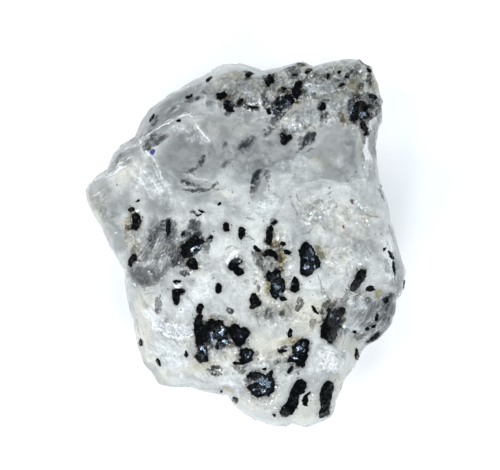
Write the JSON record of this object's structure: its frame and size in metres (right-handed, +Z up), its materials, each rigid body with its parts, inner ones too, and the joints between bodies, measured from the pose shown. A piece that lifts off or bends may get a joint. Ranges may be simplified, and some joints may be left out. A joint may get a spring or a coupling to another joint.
{
  "type": "black rutilated quartz specimen",
  "caption": "Rough broken lump of milky to clear quartz with short black mineral grains set in its surface, lying on a flat break.",
  "frame": {"origin": "middle of the stone's plan box, on the flat break that it rests on", "axes": "+Z up out of the resting break, through the thinnest way; +Y along the stone's length, towards its broad rough end; +X to the right when the length points away"},
  "size_m": [0.0401, 0.046, 0.025],
  "materials": {
    "quartz": "glossy, broken, milky to clear",
    "black_mineral": "glossy, broken"
  },
  "bodies": {
    "root": {"quartz": "quartz", "black_grain_01": "black_mineral", "black_grain_02": "black_mineral", "black_grain_03": "black_mineral", "black_grain_04": "black_mineral", "black_grain_05": "black_mineral", "black_grain_06": "black_mineral", "black_grain_07": "black_mineral", "black_grain_08": "black_mineral", "black_grain_09": "black_mineral", "black_grain_10": "black_mineral", "black_grain_11": "black_mineral", "black_grain_12": "black_mineral", "black_grain_13": "black_mineral", "black_grain_14": "black_mineral", "black_grain_15": "black_mineral", "black_grain_16": "black_mineral", "black_grain_17": "black_mineral", "black_grain_18": "black_mineral", "black_grain_19": "black_mineral", "black_grain_20": "black_mineral", "black_grain_21": "black_mineral", "black_grain_22": "black_mineral", "black_grain_23": "black_mineral", "black_grain_24": "black_mineral", "black_grain_25": "black_mineral", "black_grain_26": "black_mineral", "black_grain_27": "black_mineral", "black_grain_28": "black_mineral", "black_grain_29": "black_mineral", "black_grain_30": "black_mineral", "black_grain_31": "black_mineral", "black_grain_32": "black_mineral", "black_grain_33": "black_mineral", "black_grain_34": "black_mineral", "black_grain_35": "black_mineral", "black_grain_36": "black_mineral", "black_grain_37": "black_mineral", "black_grain_38": "black_mineral", "black_grain_39": "black_mineral", "black_grain_40": "black_mineral", "black_grain_41": "black_mineral", "black_grain_42": "black_mineral", "black_grain_43": "black_mineral", "black_grain_44": "black_mineral", "black_grain_45": "black_mineral"}
  },
  "joints": []
}
